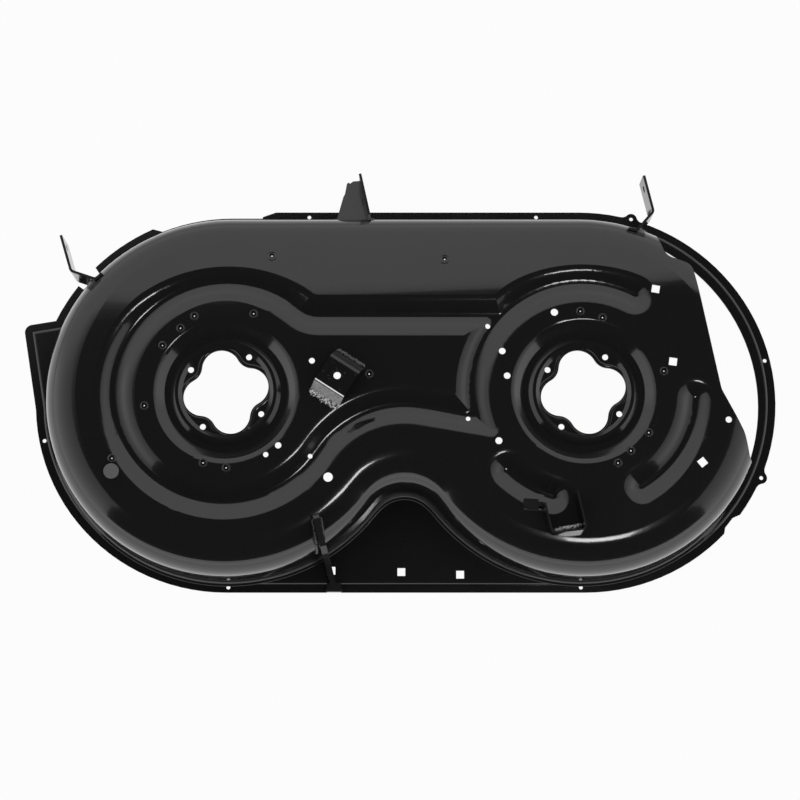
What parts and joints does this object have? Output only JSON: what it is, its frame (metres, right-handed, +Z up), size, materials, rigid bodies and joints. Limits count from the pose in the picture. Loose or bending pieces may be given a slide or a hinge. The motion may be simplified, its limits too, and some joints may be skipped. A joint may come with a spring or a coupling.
{
  "type": "lawn mower deck",
  "caption": "Bare stamped steel cutting deck of a lawn tractor: rounded shell over the blade spaces, dished spindle seats, stiffening grooves, side discharge, rim flange and welded brackets.",
  "frame": {"origin": "centre of the left spindle's bolt circle, on the top face of its pads", "axes": "+X towards the right spindle and the discharge side, +Y to the front of the tractor, +Z up"},
  "size_m": [1.1746, 0.6462, 0.145],
  "materials": {
    "deck_paint": "gloss black powder coat on stamped steel",
    "bracket_paint": "gloss black powder coat on folded steel strap",
    "plug_plastic": "moulded grey plastic"
  },
  "bodies": {
    "root": {"deck_shell": "deck_paint", "hanger_bracket_left": "bracket_paint", "hanger_bracket_right": "bracket_paint", "front_lift_bracket": "bracket_paint", "idler_saddle_bracket": "bracket_paint", "rear_stop_bracket": "bracket_paint", "rear_link_bracket": "bracket_paint", "washout_plug": "plug_plastic"}
  },
  "joints": []
}
